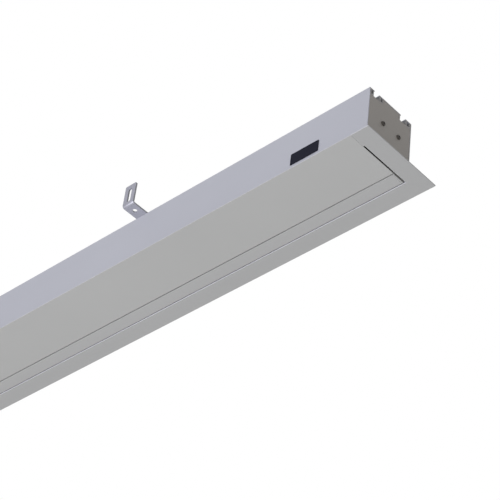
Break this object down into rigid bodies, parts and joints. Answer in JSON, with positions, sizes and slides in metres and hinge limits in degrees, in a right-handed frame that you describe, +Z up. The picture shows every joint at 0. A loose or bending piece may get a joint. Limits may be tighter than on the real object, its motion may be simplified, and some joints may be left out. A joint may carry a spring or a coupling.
{
  "type": "projector screen",
  "caption": "Recessed ceiling housing with a flange, sliding hanger brackets, a hinged access panel and a motor-driven roller whose cloth and bottom bar come down through a slot.",
  "frame": {"origin": "middle of the housing, level with the underside of the ceiling flange", "axes": "+X along the housing towards the end with the idler, -Y the front with the small plate, +Y the side of the screen slot, +Z up into the ceiling"},
  "size_m": [2.626, 0.216, 0.223],
  "materials": {
    "housing": "light grey powder coat, fine satin texture",
    "flange": "light grey powder coat, fine satin texture",
    "cap": "light grey powder coat, satin",
    "bar": "light grey powder coat, satin",
    "zinc": "zinc plated",
    "black_steel": "black oxide",
    "steel": "bright",
    "aluminium": "mill finish",
    "nylon": "moulded, matt",
    "plate": "gloss black, bare",
    "rubber": "moulded rubber",
    "cloth": "matt white coated cloth",
    "cloth_back": "black backing of the cloth, which lies outwards on the roll"
  },
  "bodies": {
    "housing": {"front_wall": "housing", "back_wall": "housing", "roof_front": "housing", "roof_middle": "housing", "roof_back": "housing", "groove_strip_front": "aluminium", "groove_strip_back": "aluminium", "trim_frame": "flange", "slot_rail": "flange", "receiver_box": "nylon", "cable_inlet": "rubber", "front_plate": "plate", "motor_bracket": "zinc", "idler_bracket": "zinc", "motor_head": "nylon", "motor_tube": "steel", "idler_pin": "steel", "end_cap_left": "cap", "end_cap_right": "cap", "cap_screw_left_front": "black_steel", "cap_screw_left_back": "black_steel", "cap_screw_right_front": "black_steel", "cap_screw_right_back": "black_steel", "cross_brace_left": "zinc", "cross_brace_middle": "zinc", "cross_brace_right": "zinc", "panel_catch_left": "nylon", "panel_catch_middle": "nylon", "panel_catch_right": "nylon", "hinge_pin_left": "steel", "hinge_pin_middle": "steel", "hinge_pin_right": "steel"},
    "roller": {"roller_tube": "aluminium", "wound_cloth": "cloth_back", "crown_ring": "nylon", "drive_wheel": "nylon", "motor_shaft": "steel", "idler_plug": "nylon", "idler_bearing": "steel"},
    "bar": {"bottom_bar": "bar", "hem_rod": "aluminium", "screen_cloth": "cloth", "bar_cap_left": "bar", "bar_cap_right": "bar"},
    "panel": {"access_panel": "flange", "strike_plate_left": "steel", "strike_plate_middle": "steel", "strike_plate_right": "steel"},
    "hanger_front_left": {"hanger_bracket_front_left": "zinc", "hanger_bolt_front_left": "steel", "hanger_nut_front_left": "steel"},
    "hanger_back_left": {"hanger_bracket_back_left": "zinc", "hanger_bolt_back_left": "steel", "hanger_nut_back_left": "steel"},
    "hanger_front_right": {"hanger_bracket_front_right": "zinc", "hanger_bolt_front_right": "steel", "hanger_nut_front_right": "steel"},
    "hanger_back_right": {"hanger_bracket_back_right": "zinc", "hanger_bolt_back_right": "steel", "hanger_nut_back_right": "steel"}
  },
  "joints": [
    {"name": "bar_drop", "type": "slide", "parent": "housing", "child": "bar", "axis": [0, 0, -1], "range_m": [0, 1.6], "deforming": ["screen_cloth"]},
    {"name": "roller_spin", "type": "hinge", "parent": "housing", "child": "roller", "pos_m": [0, 0.00417, 0.096], "axis": [-1, 0, 0], "range_deg": [0, 2300]},
    {"name": "panel_swing", "type": "hinge", "parent": "housing", "child": "panel", "pos_m": [0, 0.02345, 0.0041], "axis": [1, 0, 0], "range_deg": [0, 90]},
    {"name": "hanger_front_left_slide", "type": "slide", "parent": "housing", "child": "hanger_front_left", "axis": [1, 0, 0], "range_m": [-0.3, 0.3]},
    {"name": "hanger_back_left_slide", "type": "slide", "parent": "housing", "child": "hanger_back_left", "axis": [1, 0, 0], "range_m": [-0.3, 0.3]},
    {"name": "hanger_front_right_slide", "type": "slide", "parent": "housing", "child": "hanger_front_right", "axis": [1, 0, 0], "range_m": [-0.3, 0.3]},
    {"name": "hanger_back_right_slide", "type": "slide", "parent": "housing", "child": "hanger_back_right", "axis": [1, 0, 0], "range_m": [-0.3, 0.3]}
  ],
  "couplings": [
    {"joint": "roller_spin", "follows": "bar_drop", "rad_per_m": 24.89}
  ]
}
